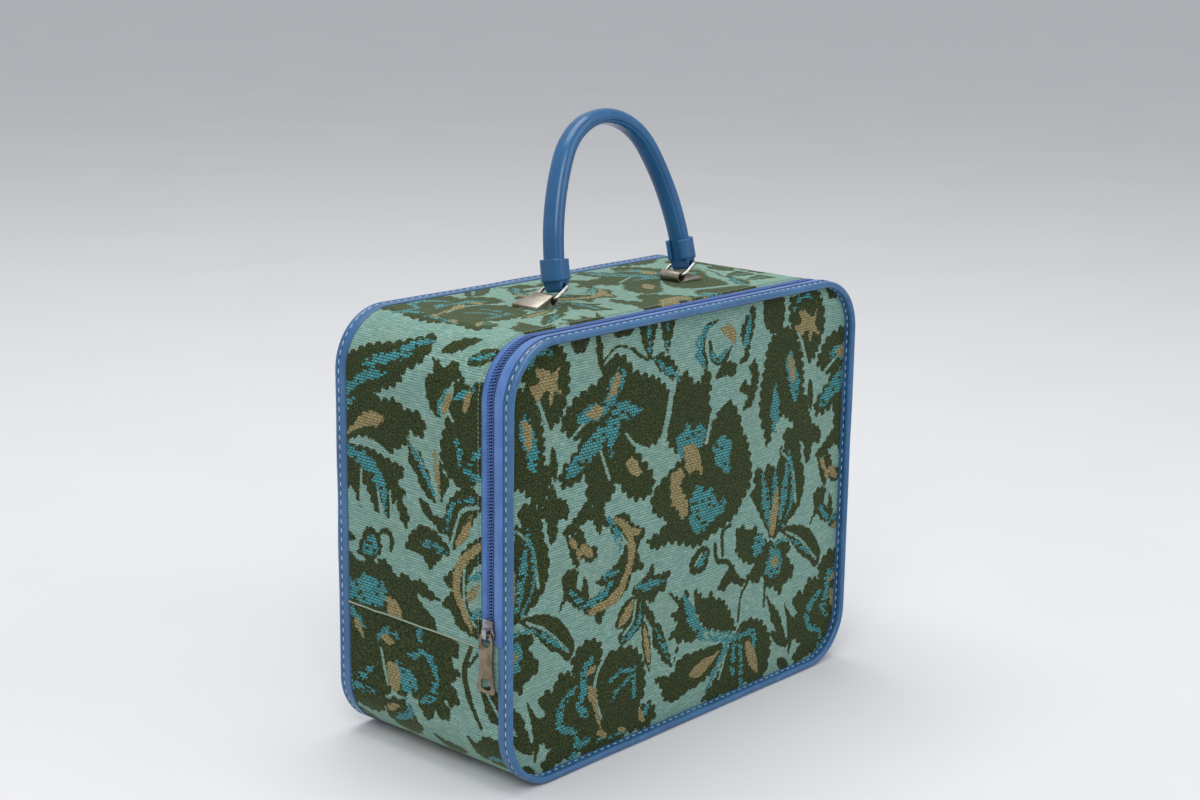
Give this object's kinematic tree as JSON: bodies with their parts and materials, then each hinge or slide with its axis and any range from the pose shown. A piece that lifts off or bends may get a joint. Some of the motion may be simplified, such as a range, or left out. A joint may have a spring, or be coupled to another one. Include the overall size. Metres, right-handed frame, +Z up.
{
  "type": "suitcase",
  "caption": "Small upright fabric suitcase with bound rims, a zip round its fold-down front and an arched carrying handle on wire rings.",
  "frame": {"origin": "middle of the base, on the surface the case stands on", "axes": "+X to the right seen from the front, -Y out of the front, +Z up"},
  "size_m": [0.3644, 0.163, 0.4169],
  "materials": {
    "weave": "floral brocade weave",
    "board": "plain fibreboard",
    "lining": "plain lining cloth",
    "binding": "satin blue vinyl",
    "tape": "woven zip tape",
    "coil": "nylon coil",
    "zip_metal": "worn nickel",
    "nickel": "nickel plate",
    "plain_steel": "plain",
    "grip": "satin blue vinyl",
    "cord": "twisted cord"
  },
  "bodies": {
    "case": {"gusset_upper_cover": "weave", "gusset_lower_cover": "weave", "back_cover": "weave", "front_lower_cover": "weave", "gusset_upper_board": "board", "gusset_lower_board": "board", "back_board": "board", "front_lower_board": "board", "body_lining": "lining", "front_lower_lining": "lining", "back_binding": "binding", "front_lower_binding": "binding", "zip_tape_body": "tape", "zip_coil_body": "coil", "clip_left": "nickel", "clip_right": "nickel", "clip_rivets": "plain_steel", "backing_plate_left": "plain_steel", "backing_plate_right": "plain_steel"},
    "lid": {"lid_cover": "weave", "lid_board": "board", "lid_lining": "lining", "lid_binding": "binding", "zip_tape_lid": "tape", "zip_coil_lid": "coil"},
    "slider": {"zip_slider": "zip_metal"},
    "pull_tab": {"zip_pull_tab": "zip_metal"},
    "left_ring": {"ring_left": "nickel"},
    "right_ring": {"ring_right": "nickel"},
    "handle": {"handle_cover": "grip", "handle_core": "cord", "keeper_left": "grip", "keeper_right": "grip"}
  },
  "joints": [
    {"name": "lid_fold", "type": "hinge", "parent": "case", "child": "lid", "pos_m": [0, -0.0815, 0.1], "axis": [1, 0, 0], "range_deg": [0, 110]},
    {"name": "zip_slide", "type": "slide", "parent": "case", "child": "slider", "axis": [0, 0, 1], "range_m": [0, 0.13]},
    {"name": "pull_tab_flip", "type": "hinge", "parent": "slider", "child": "pull_tab", "pos_m": [-0.1822, -0.0627, 0.10746], "axis": [0, 1, 0], "range_deg": [0, 170]},
    {"name": "left_ring_swing", "type": "hinge", "parent": "case", "child": "left_ring", "pos_m": [-0.066, 0, 0.29628], "axis": [0, 0.9816, -0.1908], "range_deg": [-122, 0]},
    {"name": "handle_swing", "type": "hinge", "parent": "left_ring", "child": "handle", "pos_m": [-0.05288, 0.00139, 0.30341], "axis": [0, 0.9816, -0.1908], "range_deg": [0, 122]},
    {"name": "right_ring_swing", "type": "hinge", "parent": "case", "child": "right_ring", "pos_m": [0.066, 0, 0.29628], "axis": [0, 0.9816, -0.1908], "range_deg": [-122, 0]}
  ],
  "couplings": [
    {"joint": "handle_swing", "follows": "left_ring_swing", "ratio": -1},
    {"joint": "right_ring_swing", "follows": "left_ring_swing", "ratio": 1}
  ]
}
